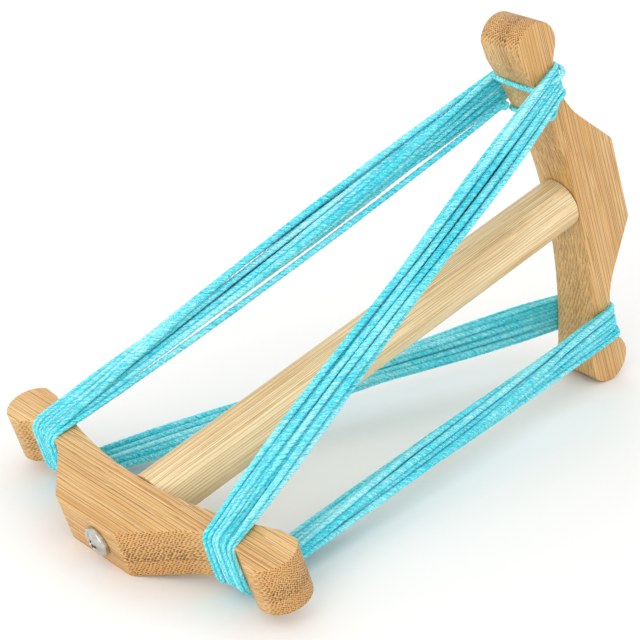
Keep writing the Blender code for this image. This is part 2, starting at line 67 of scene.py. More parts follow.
# Sizes in millimetres. The wood's are the solids' own, apart from the chamfer
# and what is named drawn; the yarn's are chosen by how it looks.
dowel = {
    "length": 188.6,
    "drawnLength": 189.0,  # the seats look closed: 0.1 mm is left to the near bar
    "radius": 9.5,
    "chamfer": 0.2,
    "bore": 4.1,
    "insertRoom": 12.6,
    "boreDepth": 19,
    "boreTip": 1.4,
    "seatGap": 0.3,
    "sides": 128,
}
bar = {
    "length": 152,
    "thickness": 18.5,
    "depth": 21.8,
    "innerRadius": 200,
    "knobRadius": 9,
    "neckToKnob": 13.5,
    "neckCut": 7.5,
    "shoulderLength": 36.7,
    "shoulderSlope": math.radians(36.5),
    "rounding": 1.2,
    "drawnRounding": 0.5,  # the photographed edges look crisper than the solid's
    "cornerRadius": 2.6,
    "nearShift": 3.7,  # the near bar's hole, off its middle
    "hole": 2.8,
    "holeSides": 48,
}
yarn = {
    "radius": 0.96,
    "bandWidth": 15.5,
    "bend": 2.2,  # radius of the corner that the strands follow round an edge
    "bands": ((49.1, 0.83), (52.6, 0.86), (49.9, 0.82), (50.7, 0.8)),
    "layerRise": 0.85,  # wool gives: the second layer beds into the first
    "gap": -0.25,  # and the first one onto the wood
    "loops": (9, 7),  # in the first layer and the second
    "windingInset": 11.7,
    "gathered": 0.59,  # share of its width that the band keeps in mid-span
    "gatheredRow": 2.15,
    "fullness": (1.0, 1.0, 1.2, 1.26),  # of the span that leaves each neck
    "tieOffset": 2.1,
    "cornerTurn": math.radians(82.6),
    "stray": (0.24, 0.24, 0.12, 0.12),  # mm off its place in the bundle
    "spanSteps": 12,
    "twist": 6.2,
    "unevenTwist": ((0.22, 13.7, 0), (0.12, 5.1, 2)),  # turns, mm to a radian, phase
    "swell": ((0.035, 9.1, 0), (0.03, 3.7, 1)),  # of the radius, mm to a radian, phase
    "plies": 3,
    "plyDepth": 0.11,
    "tautLength": 230,  # the first span runs alone, stretched thin
    "loft": 0.34,  # wool pressed flat on the wood swells between the necks
    "sag": 2.3,
    "ringStep": 0.85,
    "grooveReach": 1.5,  # a strand's middle nearer than this darkens the groove
    "grooveFade": 0.5,
    "sides": 15,
    "pieces": 4,
    "blendReach": 85,  # from the middle: beyond it the skein follows one bar alone
}
sharpAngle = math.radians(35)


def linear(hexColour):
    parts = [int(hexColour[place : place + 2], 16) / 255 for place in (1, 3, 5)]
    light = [part / 12.92 if part <= 0.04045 else ((part + 0.055) / 1.055) ** 2.4 for part in parts]
    return light + [1.0]


# Adds one shader node, sets its properties, its ramp's stops and its sockets,
# and links what is given as another node, or as one of its outputs
def addNode(tree, kind, sockets=None, stops=(), **settings):
    node = tree.nodes.new(kind)
    for name, value in settings.items():
        setattr(node, name, value)
    if stops:
        elements = node.color_ramp.elements
        for position, colour in stops[1:-1]:
            elements.new(position).color = linear(colour)
        for element, stop in ((elements[0], stops[0]), (elements[-1], stops[-1])):
            element.position = stop[0]
            element.color = linear(stop[1])
    for name, value in (sockets or {}).items():
        if isinstance(name, int):
            socket = node.inputs[name]
        else:
            socket = next(item for item in node.inputs if item.enabled and item.name == name)
        if isinstance(value, bpy.types.Node):
            value = next(item for item in value.outputs if item.enabled)
        if isinstance(value, bpy.types.NodeSocket):
            tree.links.new(value, socket)
        else:
            socket.default_value = value
    return node


def newMaterial(name):
    material = bpy.data.materials.new(name)
    material.use_nodes = True
    tree = material.node_tree
    return material, tree, tree.nodes["Principled BSDF"]


# Object coordinates turned into a piece's own directions, in millimetres
def ownCoordinates(tree, ownToWorld):
    worldToOwn = ownToWorld.inverted()
    place, turn, size = worldToOwn.decompose()
    source = addNode(tree, "ShaderNodeTexCoord").outputs["Object"]
    own = {"Vector": source, "Location": place, "Rotation": turn.to_euler(), "Scale": size}
    return addNode(tree, "ShaderNodeMapping", own).outputs["Vector"]


def addObject(name, data):
    item = bpy.data.objects.new(name, data)
    scene.collection.objects.link(item)
    return item


# An object's mesh as its modifiers or its curve settings make it
def shownMesh(item):
    bpy.context.view_layer.update()
    shown = item.evaluated_get(bpy.context.evaluated_depsgraph_get())
    return bpy.data.meshes.new_from_object(shown)


# The crossbar's outline as (s, w): s along the bar from its middle, w away
# from the dowel
def innerEdge(s):
    return math.sqrt(bar["innerRadius"] ** 2 - s**2) - bar["innerRadius"]


# Where the outline's arcs meet: the knob, the neck's lowest place, the
# shoulder's arc and the slope down from the flat middle
knobPlace = bar["length"] / 2 - bar["knobRadius"]
knobReach = bar["innerRadius"] + bar["knobRadius"]
knobHeight = math.sqrt(knobReach**2 - knobPlace**2) - bar["innerRadius"]
neckPlace = knobPlace - bar["neckToKnob"]
neckHeight = innerEdge(neckPlace) + 2 * bar["knobRadius"] - bar["neckCut"]
facetHalf = neckPlace - bar["shoulderLength"]
slope = bar["shoulderSlope"]
shoulderRun = bar["shoulderLength"] * math.sin(slope)
shoulderRise = (bar["depth"] - neckHeight) * math.cos(slope)
shoulderRadius = (shoulderRun - shoulderRise) / (1 - math.cos(slope))
shoulderFoot = neckPlace - shoulderRadius * math.sin(slope)
knobDrop = neckHeight - knobHeight
neckRadius = (bar["neckToKnob"] ** 2 + knobDrop**2 - bar["knobRadius"] ** 2) / (
    2 * (bar["knobRadius"] - knobDrop)
)
neckAngle = math.atan2(bar["neckToKnob"], neckRadius + knobDrop)
innerAngle = math.asin(knobPlace / knobReach)
halfSpan = dowel["length"] / 2 + dowel["seatGap"] - innerEdge(dowel["radius"] + bar["nearShift"])


def outerEdge(s):
    if s < shoulderFoot:
        return bar["depth"] - (s - facetHalf) * math.tan(slope)
    radius = shoulderRadius if s < neckPlace else neckRadius
    return neckHeight + radius - math.sqrt(radius**2 - (s - neckPlace) ** 2)


# Points on a circle, from one angle to another
def arc(s, w, radius, start, end, steps, first=0):
    angles = [start + (end - start) * step / steps for step in range(first, steps + 1)]
    return [(s + radius * math.cos(angle), w + radius * math.sin(angle)) for angle in angles]


def halfOutline():
    top = math.pi / 2
    soft = bar["cornerRadius"]
    cut = soft * math.tan(slope / 2)
    radius = bar["innerRadius"]
    knob = bar["knobRadius"]
    return (
        # the softened corner between the flat middle and the slope
        arc(facetHalf - cut, bar["depth"] - soft, soft, top, top - slope, 6)
        + arc(neckPlace, neckHeight + shoulderRadius, shoulderRadius, -top - slope, -top, 24)
        + arc(neckPlace, neckHeight + neckRadius, neckRadius, -top, neckAngle - top, 16, first=1)
        + arc(knobPlace, knobHeight, knob, top + neckAngle, innerAngle - top, 60, first=1)
        + arc(0, -radius, radius, top - innerAngle, top, 40, first=1)
    )


def closedMesh(bm, name):
    mesh = bpy.data.meshes.new(name)
    bmesh.ops.recalc_face_normals(bm, faces=bm.faces)
    bm.to_mesh(mesh)
    bm.free()
    return mesh


def finishPiece(bm, name, matrix, material):
    bmesh.ops.transform(bm, matrix=matrix, verts=bm.verts)
    mesh = closedMesh(bm, name)
    mesh.materials.append(material)
    mesh.shade_smooth()
    mesh.set_sharp_from_angle(angle=sharpAngle)
    return addObject(name, mesh)


# A turned shape about X, from a profile of (x, radius) whose ends lie on the axis
def turned(profile, sides):
    bm = bmesh.new()
    verts = [bm.verts.new((x, radius, 0)) for x, radius in profile]
    edges = [bm.edges.new(pair) for pair in zip(verts, verts[1:])]
    bmesh.ops.spin(
        bm,
        geom=verts + edges,
        cent=(0, 0, 0),
        axis=(1, 0, 0),
        angle=2 * math.pi,
        steps=sides,
        use_merge=True,
    )
    bmesh.ops.remove_doubles(bm, verts=bm.verts, dist=0.001)
    return bm


def cutAway(piece, cutterBm, cutterName):
    cutter = addObject(cutterName, closedMesh(cutterBm, cutterName))
    cut = piece.modifiers.new("cut", "BOOLEAN")
    cut.operation = "DIFFERENCE"
    cut.solver = "EXACT"
    cut.object = cutter
    cut.use_self = True
    finished = shownMesh(piece)
    piece.modifiers.clear()
    piece.data = finished
    bpy.data.objects.remove(cutter)


# From a bar's own directions (w away from the dowel, s along it, t through
# its thickness) to the winder's
nearBarOwn = Matrix.Translation((-halfSpan, bar["nearShift"], 0)) @ Matrix.Rotation(math.pi, 4, "Y")
farBarOwn = Matrix.Translation((halfSpan, 0, 0)) @ Matrix.Rotation(math.pi / 2, 4, "X")


def makeBar(name, own, holeShift, material):
    half = halfOutline()
    outline = half + [(-s, w) for s, w in reversed(half[:-1])]
    bm = bmesh.new()
    lower = [bm.verts.new((w, s, -bar["thickness"] / 2)) for s, w in outline]
    face = bm.faces.new(lower)
    walls = bmesh.ops.extrude_face_region(bm, geom=[face])
    raised = [item for item in walls["geom"] if isinstance(item, bmesh.types.BMVert)]
    bmesh.ops.translate(bm, verts=raised, vec=(0, 0, bar["thickness"]))
    bm.normal_update()
    rims = [
        edge for edge in bm.edges if any(abs(face.normal.z) > 0.9 for face in edge.link_faces)
    ]
    bmesh.ops.bevel(
        bm,
        geom=rims,
        offset=bar["drawnRounding"],
        offset_type="OFFSET",
        segments=3,
        profile=0.5,
        affect="EDGES",
        material=-1,
    )
    piece = finishPiece(bm, name, Matrix(), material)
    ends = (-bar["depth"], 2 * bar["depth"])
    hole = [(ends[0], 0), (ends[0], bar["hole"]), (ends[1], bar["hole"]), (ends[1], 0)]
    hole = turned(hole, bar["holeSides"])
    bmesh.ops.translate(hole, verts=hole.verts, vec=(0, holeShift, 0))
    cutAway(piece, hole, name + "Hole")
    piece.data.shade_smooth()
    piece.data.set_sharp_from_angle(angle=math.radians(20))
    piece.data.transform(toWorld @ own)
    return piece


# Carbonised laminated bamboo, sanded and oiled to a low sheen: honey brown,
# with fibre bundles along the bar. A face that cuts across them shows brown
# dots, one along them fine dark lines. Two boards are glued face to face.
bamboo = {
    "light": "#E5BD80",
    "mid": "#D9AA6A",
    "dark": "#C5904D",
    "line": "#A97838",
    "lineLight": "#F4DAA9",
    "bundle": "#4C2A0A",
    "endGrain": "#C9985C",
    "glue": "#8F6330",
    "bundleSpacing": (0.64, 0.78),  # mm, as between the dots in the end grain
    "bundleTurn": 0.5,
    "bundleSize": 0.3,  # as a share of their spacing
    "bundleSizes": (0.28, 0.42),  # from the board's soft side to the glue line
    "softSide": -5.0,
    "finer": 0.14,  # in the board beyond the glue line, which is browner too
    "brown": "#B47C3C",
    "brownShare": 0.15,
    "wander": 0.8,  # mm that the fibres stray, over some 40 mm
    "wanderLength": 40,
    "lineSpacing": 1.9,
    "lineShare": 0.95,
    "linesPerWave": 13.0,
    "darkEdge": (0.26, 0.04),
    "lightEdge": (0.7, 0.95),
    "endGrainFrom": (0.22, 0.62),  # share that a face cuts across, where it shows
    "glueLine": 3.1,
    "glueWidth": 0.18,
    "roughness": 0.44,
    "shift": (0, 0, 0),
}

# The dowel is turned from paler bamboo with finer, denser fibre
paleBamboo = dict(
    bamboo,
    light="#F2DDB2",
    mid="#E7CB99",
    dark="#C99D5F",
    line="#A37A42",
    lineLight="#F7E9C6",
    bundle="#94683A",
    endGrain="#CFAE78",
    bundleSpacing=(0.66, 0.66),
    lineSpacing=1.6,
    lineShare=0.6,
    glueLine=None,
    roughness=0.4,
)


def makeBamboo(name, own, look):
    material, tree, shader = newMaterial(name)
    place = ownCoordinates(tree, toWorld @ own)
    depth = addNode(tree, "ShaderNodeSeparateXYZ", {"Vector": place}).outputs["Z"]
    glueLine = look["glueLine"]
    moved = addNode(tree, "ShaderNodeVectorMath", {0: place, 1: look["shift"]}, operation="ADD")

    # Fibres run along Y and wander a little on their way, so every pattern
    # is drawn in the cross-section and goes the whole length
    wander = {"Vector": moved, "Scale": 1 / look["wanderLength"], "Detail": 1.0}
    wander = addNode(tree, "ShaderNodeTexNoise", wander).outputs["Color"]
    fibre = {0: wander, 1: (look["wander"], 0, look["wander"]), 2: moved}
    fibre = addNode(tree, "ShaderNodeVectorMath", fibre, operation="MULTIPLY_ADD")
    fibre = addNode(tree, "ShaderNodeSeparateXYZ", {"Vector": fibre}).outputs
    section = addNode(tree, "ShaderNodeCombineXYZ", {"X": fibre["X"], "Y": fibre["Z"]})

    # How far a face cuts across the fibres: 0 along them, 1 square across
    grainWay = ((toWorld @ own).to_3x3() @ Vector((0, 1, 0))).normalized()
    facing = {0: addNode(tree, "ShaderNodeTexCoord").outputs["Normal"], 1: grainWay}
    facing = addNode(tree, "ShaderNodeVectorMath", facing, operation="DOT_PRODUCT")
    facing = addNode(tree, "ShaderNodeMath", {0: facing.outputs["Value"]}, operation="ABSOLUTE")
    least, most = look["endGrainFrom"]
    across = {"Value": facing, "From Min": least, "From Max": most}
    across = addNode(tree, "ShaderNodeMapRange", across, interpolation_type="SMOOTHSTEP")
    lengthwise = addNode(tree, "ShaderNodeMath", {0: 1.0, 1: across}, operation="SUBTRACT")

    # Tone: slow along the bar, quicker from strip to strip, and pith streaks
    # (scales in waves per millimetre across the fibres, along them and across)
    slow = addNode(tree, "ShaderNodeMapping", {"Vector": moved, "Scale": (0.12, 0.012, 0.12)})
    slow = addNode(tree, "ShaderNodeTexNoise", {"Vector": slow, "Scale": 1.0, "Detail": 2.0})
    strips = {"Vector": section, "Scale": 0.9, "Detail": 4.0, "Roughness": 0.7}
    strips = addNode(tree, "ShaderNodeTexNoise", strips, noise_dimensions="2D")
    pith = addNode(tree, "ShaderNodeMapping", {"Vector": moved, "Scale": (2.6, 0.08, 2.6)})
    pith = {"Vector": pith, "Scale": 1.0, "Detail": 3.0, "Roughness": 0.65}
    pith = addNode(tree, "ShaderNodeTexNoise", pith)
    blend = 0.0
    for pattern, weight in ((slow, 0.42), (strips, 0.25), (pith, 0.33)):
        blend = {0: pattern, 1: weight, 2: blend}
        blend = addNode(tree, "ShaderNodeMath", blend, operation="MULTIPLY_ADD")
    stops = ((0.36, look["dark"]), (0.49, look["mid"]), (0.62, look["light"]))
    colour = addNode(tree, "ShaderNodeValToRGB", {"Fac": blend}, stops)

    # How much of each tint goes over that tone, in this order. First long
    # lines, a dark edge with a light one beside it, then the end grain.
    shares = {}
    lines = {"Vector": section, "Scale": 1 / look["lineSpacing"], "Detail": 2.0, "Roughness": 0.5}
    lines = addNode(tree, "ShaderNodeTexNoise", lines, noise_dimensions="2D")
    saw = addNode(tree, "ShaderNodeMath", {0: lines, 1: look["linesPerWave"]}, operation="MULTIPLY")
    saw = addNode(tree, "ShaderNodeMath", {0: saw}, operation="FRACT")
    for tint, (least, most), strength in (
        ("line", look["darkEdge"], look["lineShare"]),
        ("lineLight", look["lightEdge"], 0.45),
    ):
        edge = {"Value": saw, "From Min": least, "From Max": most, "To Max": strength}
        edge = {0: addNode(tree, "ShaderNodeMapRange", edge), 1: lengthwise}
        shares[tint] = addNode(tree, "ShaderNodeMath", edge, operation="MULTIPLY")
    shares["endGrain"] = addNode(
        tree, "ShaderNodeMath", {0: across, 1: 0.75}, operation="MULTIPLY"
    )

    # Fibre bundles, thicker towards the glue line, where the culm's hard
    # outside lies, and finer in the board beyond it, which is browner
    apart = tuple(1 / spacing for spacing in look["bundleSpacing"]) + (1,)
    slanted = addNode(tree, "ShaderNodeVectorMath", {0: section, 1: apart}, operation="MULTIPLY")
    slanted = {"Vector": slanted, "Rotation": (0, 0, look["bundleTurn"])}
    slanted = addNode(tree, "ShaderNodeMapping", slanted)
    bundles = {"Vector": slanted, "Scale": 1.0, "Randomness": 0.42}
    bundles = addNode(tree, "ShaderNodeTexVoronoi", bundles, voronoi_dimensions="2D")
    size = look["bundleSize"]
    if glueLine is not None:
        least, most = look["bundleSizes"]
        size = {"Value": depth, "From Min": look["softSide"], "From Max": glueLine}
        size = addNode(tree, "ShaderNodeMapRange", {**size, "To Min": least, "To Max": most})
        beyond = addNode(tree, "ShaderNodeMath", {0: depth, 1: glueLine}, operation="GREATER_THAN")
        size = {0: beyond, 1: -look["finer"], 2: size}
        size = addNode(tree, "ShaderNodeMath", size, operation="MULTIPLY_ADD")
        shares["brown"] = addNode(
            tree, "ShaderNodeMath", {0: beyond, 1: look["brownShare"]}, operation="MULTIPLY"
        )
    core = {0: size, 1: bundles.outputs["Distance"]}
    core = addNode(tree, "ShaderNodeMath", core, operation="SUBTRACT")
    core = {"Value": core, "From Min": -0.1, "From Max": 0.06}
    dots = addNode(tree, "ShaderNodeMapRange", core, interpolation_type="SMOOTHSTEP")
    each = addNode(tree, "ShaderNodeSeparateColor", {"Color": bundles.outputs["Color"]})
    for factor, least in ((each.outputs["Red"], 0.55), (across, 0.5)):
        factor = {"Value": factor, "To Min": least, "To Max": 1.0}
        dots = {0: dots, 1: addNode(tree, "ShaderNodeMapRange", factor)}
        dots = addNode(tree, "ShaderNodeMath", dots, operation="MULTIPLY")
    shares["bundle"] = dots
    if glueLine is not None:
        away = addNode(tree, "ShaderNodeMath", {0: depth, 1: glueLine}, operation="SUBTRACT")
        away = addNode(tree, "ShaderNodeMath", {0: away}, operation="ABSOLUTE")
        glue = {"Value": away, "From Min": look["glueWidth"], "From Max": 0.0, "To Max": 0.7}
        shares["glue"] = addNode(tree, "ShaderNodeMapRange", glue)
    for tint, share in shares.items():
        mix = {0: share, 6: colour, 7: linear(look[tint])}
        colour = addNode(tree, "ShaderNodeMix", mix, data_type="RGBA")

    tree.links.new(colour.outputs[2], shader.inputs["Base Color"])
    rough = look["roughness"]
    rough = {"Value": pith, "To Min": rough - 0.06, "To Max": rough + 0.12}
    rough = {0: across, 1: 0.12, 2: addNode(tree, "ShaderNodeMapRange", rough)}
    rough = addNode(tree, "ShaderNodeMath", rough, operation="MULTIPLY_ADD")
    tree.links.new(rough.outputs[0], shader.inputs["Roughness"])
    relief = addNode(tree, "ShaderNodeMath", {0: dots, 1: -0.6, 2: pith}, operation="MULTIPLY_ADD")
    bump = {"Height": relief, "Distance": 0.06 * mm, "Strength": 0.8}
    bump = addNode(tree, "ShaderNodeBump", bump)
    tree.links.new(bump.outputs[0], shader.inputs["Normal"])
    shader.inputs["IOR"].default_value = 1.5
    return material


nearBamboo = makeBamboo("oiledBambooNear", nearBarOwn, bamboo)
farBamboo = makeBamboo("oiledBambooFar", farBarOwn, dict(bamboo, shift=(41, 260, 17)))
dowelBamboo = makeBamboo("turnedBamboo", Matrix.Rotation(-math.pi / 2, 4, "Z"), paleBamboo)

nearBar = makeBar("nearCrossbar", nearBarOwn, -bar["nearShift"], nearBamboo)
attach(nearBar, "near_bar")
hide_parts("crossbar_near")
farBar = makeBar("farCrossbar", farBarOwn, 0, farBamboo)
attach(farBar, "far_bar")
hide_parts("crossbar_far")
print("crossbars made")


# The dowel, bored at both ends for its threaded insert and the screw's tip
def makeDowel():
    half = dowel["drawnLength"] / 2
    chamfer = dowel["chamfer"]
    # the chamfer is softened at both its edges, and the bore ends in a cone
    farEnd = [
        (half - 1.6 * chamfer, dowel["radius"]),
        (half - chamfer, dowel["radius"] - 0.12 * chamfer),
        (half - 0.35 * chamfer, dowel["radius"] - 0.45 * chamfer),
        (half, dowel["radius"] - chamfer),
        (half, dowel["bore"]),
        (half - dowel["insertRoom"], dowel["bore"]),
        (half - dowel["insertRoom"], bar["hole"]),
        (half - dowel["boreDepth"], bar["hole"]),
        (half - dowel["boreDepth"] - dowel["boreTip"], 0),
    ]
    profile = [(-x, radius) for x, radius in reversed(farEnd)] + farEnd
    return finishPiece(turned(profile, dowel["sides"]), "centreDowel", toWorld, dowelBamboo)


centreDowel = makeDowel()
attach(centreDowel, "centre_post")
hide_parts("dowel")

# M5 pan head machine screws, bright zinc plate
screw = {
    "headRadius": 5.4,
    "headHeight": 3.0,
    "rimHeight": 1.95,
    "rimRounding": 0.7,
    "underChamfer": 0.25,
    "radius": 2.45,
    "threadDepth": 0.42,
    "threadPitch": 0.8,
    "threadLength": 24,
    "length": 38.9,
    "gapUnderHead": 0.05,
    "recessReach": 2.7,
    "recessWidth": 1.3,
    "recessDepth": 1.8,
    "recessTaper": 0.45,
    "sides": 72,
    "shankSides": 32,
    "threadSteps": 20,  # to a turn
}


# Bright zinc plate: a clear mirror-like sheen broken by fine grit of 0.4 mm,
# faintly yellow and grey in clouds of 2.4 mm
zincPlate = {
    "cloud": (0.42, 3.0),  # waves per millimetre and detail
    "tones": ((0.3, "#A9ABAB"), (0.7, "#D9D8D2")),
    "grit": 2.6,
    "roughness": (0.12, 0.3),
}

# Machined brass of the threaded inserts: warm yellow, dulled in clouds of 2 mm
machinedBrass = {
    "cloud": (0.5, 4.0),
    "tones": ((0.35, "#A8803A"), (0.65, "#D8B366")),
    "grit": None,
    "roughness": (0.22, 0.42),
}


def makeMetal(name, look):
    material, tree, shader = newMaterial(name)
    shader.inputs["Metallic"].default_value = 1.0
    place = addNode(tree, "ShaderNodeTexCoord").outputs["Object"]
    scale, detail = look["cloud"]
    cloud = {"Vector": place, "Scale": scale / mm, "Detail": detail}
    cloud = addNode(tree, "ShaderNodeTexNoise", cloud)
    tone = addNode(tree, "ShaderNodeValToRGB", {"Fac": cloud}, look["tones"])
    tree.links.new(tone.outputs["Color"], shader.inputs["Base Color"])
    worn = cloud
    if look["grit"] is not None:
        worn = {"Vector": place, "Scale": look["grit"] / mm, "Detail": 2.0}
        worn = addNode(tree, "ShaderNodeTexNoise", worn)
        bump = {"Height": worn, "Distance": 0.02 * mm, "Strength": 0.5}
        bump = addNode(tree, "ShaderNodeBump", bump)
        tree.links.new(bump.outputs[0], shader.inputs["Normal"])
    least, most = look["roughness"]
    rough = addNode(tree, "ShaderNodeMapRange", {"Value": worn, "To Min": least, "To Max": most})
    tree.links.new(rough.outputs[0], shader.inputs["Roughness"])
    return material


zinc = makeMetal("brightZincPlate", zincPlate)


def makeScrew(name, own):
    rim = screw["rimHeight"]
    soft = screw["rimRounding"]
    radius = screw["headRadius"]
    height = screw["headHeight"]
    under = screw["underChamfer"]
    profile = [(0, 0), (0, radius - under), (under, radius)]
    for step in range(5):
        angle = math.pi / 2 * step / 4
        x = rim - soft * (1 - math.sin(angle))
        profile.append((x, radius - soft * (1 - math.cos(angle))))
    crown = radius - soft
    domeRadius = (crown**2 + (height - rim) ** 2) / (2 * (height - rim))
    for step in range(1, 9):
        across = crown * (1 - step / 8)
        profile.append((height - domeRadius + math.sqrt(domeRadius**2 - across**2), across))
    head = finishPiece(turned(profile, screw["sides"]), name, Matrix(), zinc)

    # The cross recess, of two blades that taper towards their bottom
    recess = bmesh.new()
    for turn in (0, math.pi / 2):
        blade = bmesh.ops.create_cube(recess, size=2)["verts"]
        for vert in blade:
            bottom = vert.co.x < 0
            vert.co.y *= screw["recessReach"] * (screw["recessTaper"] if bottom else 1.25)
            vert.co.z *= screw["recessWidth"] / 2 * (0.7 if bottom else 1.1)
            vert.co.x *= screw["recessDepth"]
        across = Matrix.Rotation(turn, 3, "X")
        bmesh.ops.rotate(recess, verts=blade, cent=(0, 0, 0), matrix=across)
    bmesh.ops.translate(recess, verts=recess.verts, vec=(height, 0, 0))
    cutAway(head, recess, name + "Recess")

    # The shank: plain under the head, then cut back for the thread
    outer = screw["radius"]
    root = outer - screw["threadDepth"]
    plain = -(screw["length"] - screw["threadLength"])
    tip = -screw["length"]
    shank = [(0.6, 0), (0.6, outer), (plain, outer), (plain - 0.6, root)]
    shank += [(tip + 0.3, root), (tip, root - 0.3), (tip, 0)]

    # The thread's section, swept along the shank
    thread = bmesh.new()
    pitch = screw["threadPitch"]
    foot = root - 0.05
    corners = [(0.08, foot), (0.45, outer), (0.55, outer), (0.92, foot)]
    verts = [thread.verts.new((share * pitch, z, 0)) for share, z in corners]
    turns = int((screw["threadLength"] - 1.6) / pitch)
    bmesh.ops.spin(
        thread,
        geom=[thread.faces.new(verts)],
        cent=(0, 0, 0),
        axis=(1, 0, 0),
        dvec=(pitch / screw["threadSteps"], 0, 0),
        angle=2 * math.pi * turns,
        steps=screw["threadSteps"] * turns,
    )
    bmesh.ops.translate(thread, verts=thread.verts, vec=(tip + 0.4, 0, 0))

    bm = bmesh.new()
    bm.from_mesh(head.data)
    for shape in (turned(shank, screw["shankSides"]), thread):
        mesh = closedMesh(shape, name + "Part")
        bm.from_mesh(mesh)
        bpy.data.meshes.remove(mesh)
    bm.to_mesh(head.data)
    bm.free()
    head.data.shade_smooth()
    head.data.set_sharp_from_angle(angle=sharpAngle)
    head.data.transform(toWorld @ own)
    return head


reach = halfSpan + bar["depth"] + screw["gapUnderHead"]
nearTurn = Matrix.Rotation(math.pi, 4, "Y")
nearScrew = makeScrew("nearScrew", Matrix.Translation((-reach, 0, 0)) @ nearTurn)
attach(nearScrew, "near_screw")
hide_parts("screw_near")
farScrew = makeScrew("farScrew", Matrix.Translation((reach, 0, 0)))
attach(farScrew, "far_screw")
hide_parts("screw_far")
brass = makeMetal("machinedBrass", machinedBrass)
for name in ("insert_near", "insert_far"):
    solid = frame["nodes"][name]
    solid.data.materials.clear()
    solid.data.materials.append(brass)
print("dowel, screws and inserts made")

# The necks in the order in which the yarn visits them: end of the dowel, arm,
# the broad face it comes in over, the one it leaves over, shift of the bar
sideways = Vector((0, 1, 0))
upwards = Vector((0, 0, 1))
necks = [
    (-1, sideways, upwards, -upwards, bar["nearShift"]),
    (1, -upwards, sideways, -sideways, 0),
    (-1, -sideways, -upwards, upwards, bar["nearShift"]),
    (1, upwards, -sideways, sideways, 0),
]
windingStart = neckPlace - yarn["windingInset"]
windingEnd = windingStart + yarn["bandWidth"]
tiePlace = windingStart - yarn["tieOffset"]


# The band lies a little differently on each neck: its middle along the bar,
# and how closely its strands lie
def settled(neck, s):
    centre, share = yarn["bands"][necks.index(neck)]
    return centre + (s - (windingStart + windingEnd) / 2) * share


def neckPoint(neck, face, s, out, across):
    end, arm, shift = neck[0], neck[1], neck[4]
    return Vector((end * (halfSpan + out), shift, 0)) + arm * s + face * across


# Where a visit lies in the band: first layer outwards, second back again
def windingPlace(visit):
    first, second = (count * len(necks) for count in yarn["loops"])
    share = visit / (first - 1) if visit < first else 1 - (visit - first) / (second - 1)
    if necks[visit % len(necks)][0] > 0:
        share = 1 - share
    return windingStart + share * yarn["bandWidth"], int(visit >= first)


# Over a neck: round the edge of the face it comes in over, then round the
# other's. A lean lets the strand cross the neck at a slant.
def neckTurn(neck, s, layer, lean=0.0):
    cover = yarn["bend"] + yarn["gap"] + yarn["radius"] + layer * yarn["layerRise"]
    across = bar["thickness"] / 2 - yarn["bend"]
    points = []
    shares = (0, 0.25, 0.5, 0.75, 1)
    for face, way, turn in ((neck[2], -0.5, shares[::-1]), (neck[3], 0.5, shares)):
        for share in turn:
            place = s + lean * (1 + share) * way
            angle = yarn["cornerTurn"] * share
            out = outerEdge(place) - yarn["bend"] + cover * math.cos(angle)
            points.append(neckPoint(neck, face, place, out, across + cover * math.sin(angle)))
    return points


def acrossAxes(band, way):
    width = (band - way * band.dot(way)).normalized()
    return width, width.cross(way)


# On the way from neck to neck the flat band turns a quarter way round and
# draws together into a round bundle, each strand a little off its place
def spanPoints(start, finish, middles, bands, rows, stray, fullness):
    way = (middles[1] - middles[0]).normalized()
    ends = []
    for point, centre, band in zip((start, finish), middles, bands):
        width, depth = acrossAxes(band, way)
        offset = point - centre
        ends.append(Vector((offset.dot(way), offset.dot(width), offset.dot(depth))))
    points = []
    for step in range(1, yarn["spanSteps"]):
        share = step / yarn["spanSteps"]
        gathered = math.sin(math.pi * share)
        sway = math.sin(2 * math.pi * share)
        width, depth = acrossAxes(bands[0].slerp(bands[1], share), way)
        forth, aside, out = ends[0].lerp(ends[1], share)
        row = (rows[0] + (rows[1] - rows[0]) * share) * yarn["gatheredRow"] * fullness
        aside += (aside * yarn["gathered"] * fullness - aside) * gathered**2
        out += (row - out) * gathered
        aside += stray[0] * gathered**2 + stray[2] * sway
        out += stray[1] * gathered**2 + stray[3] * sway
        place = middles[0].lerp(middles[1], share)
        points.append(place + way * forth + width * aside + depth * out)
    return points


# A turn of yarn round a neck, on the wood: inner and outer corner of the one
# face, then outer and inner corner of the other
def ringPoints(neck, places):
    faceIn, faceOut = neck[2:4]
    half = bar["thickness"] / 2 - bar["rounding"]
    cover = bar["rounding"] + yarn["gap"] + yarn["radius"]
    points = []
    for corner, (face, s) in enumerate(zip((faceIn, faceIn, faceOut, faceOut), places)):
        inner = corner in (0, 3)
        edge = innerEdge(s) + bar["rounding"] if inner else outerEdge(s) - bar["rounding"]
        angles = [math.pi / 2 * share for share in (0, 1 / 3, 2 / 3, 1)]
        if corner in (1, 3):
            angles.reverse()
        for angle in angles:
            out = edge + cover * math.cos(angle) * (-1 if inner else 1)
            points.append(neckPoint(neck, face, s, out, half + cover * math.sin(angle)))
    return points


knot = {
    "radius": 1.8,
    "strand": 0.8,  # its thickness beside the yarn's
    "loop": 0.645,
    "below": 1.2,
    "steps": 60,
    "ringStep": 0.5,
}


def knotCentre():
    neck = necks[-1]
    s = tiePlace + yarn["radius"] + knot["radius"]
    out = innerEdge(s) - knot["below"] - knot["radius"]
    return neckPoint(neck, neck[3], s, out, bar["thickness"] / 2)


